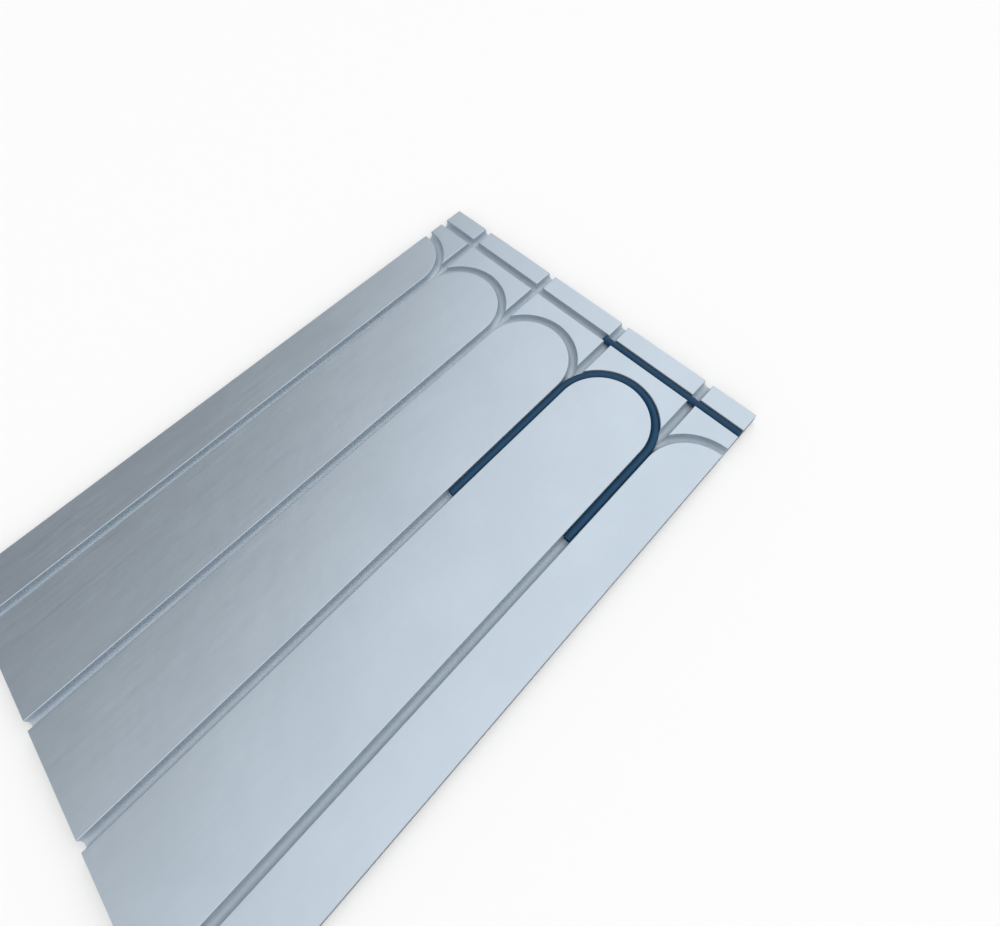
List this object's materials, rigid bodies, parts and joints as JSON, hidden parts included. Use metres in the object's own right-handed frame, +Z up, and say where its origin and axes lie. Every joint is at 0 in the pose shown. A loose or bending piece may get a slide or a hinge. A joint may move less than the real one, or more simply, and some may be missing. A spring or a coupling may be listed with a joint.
{
  "type": "dry underfloor heating panel",
  "caption": "Grey foam insulation panel with an aluminium foil facing pressed into its pipe channels, and cut lengths of blue heating pipe laid in a return bend and in the cross channel.",
  "frame": {"origin": "centre of the board's underside", "axes": "+X across the long channels, towards the side edge that the cross channel's pipe ends at; +Y along the long channels, towards the end edge that the return bends face; +Z up, out of the foil facing"},
  "size_m": [0.8, 1.2, 0.025],
  "materials": {
    "foam": "moulded grey bead foam",
    "foil": "satin rolled foil",
    "pipe": "smooth extruded, satin"
  },
  "bodies": {
    "root": {"insulation_board": "foam", "foil_facing": "foil", "pipe_return_loop": "pipe", "pipe_cross_run": "pipe"}
  },
  "joints": []
}
